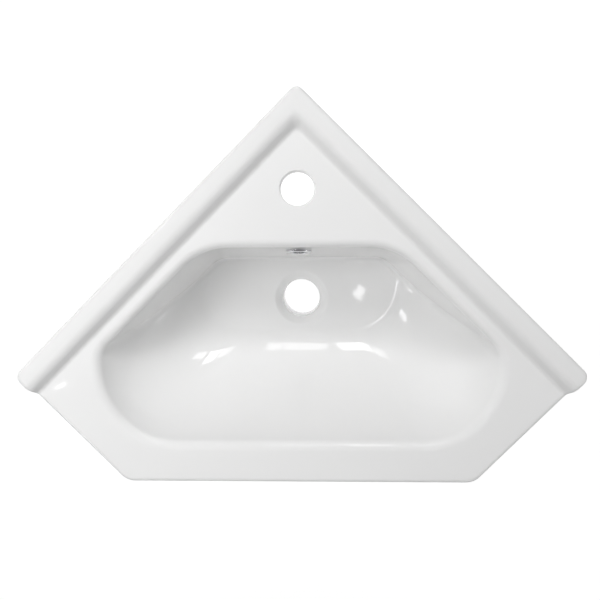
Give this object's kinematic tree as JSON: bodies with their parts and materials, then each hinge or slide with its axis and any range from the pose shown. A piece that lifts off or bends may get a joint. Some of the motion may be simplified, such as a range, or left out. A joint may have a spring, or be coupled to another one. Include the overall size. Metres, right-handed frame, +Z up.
{
  "type": "corner washbasin",
  "caption": "White corner washbasin with a trapezoid bowl, raised ledge along both walls, centre tap hole, barred overflow and open waste hole.",
  "frame": {"origin": "where the two wall planes meet, level with the deck beside the bowl", "axes": "+Z up, +X to the right as seen from the front, +Y into the corner of the room; the wall planes run from the origin at 45 degrees towards -X -Y and +X -Y"},
  "size_m": [0.5816, 0.4047, 0.171],
  "materials": {
    "china": "glossy white glaze",
    "duct_china": "thin white glaze",
    "chrome": "polished",
    "sleeve_plastic": "satin",
    "nylon": "satin"
  },
  "bodies": {
    "root": {"basin_body": "china", "overflow_duct": "duct_china", "overflow_ring": "chrome", "overflow_sleeve": "sleeve_plastic", "fixing_sleeve_left": "nylon", "fixing_sleeve_right": "nylon"}
  },
  "joints": []
}
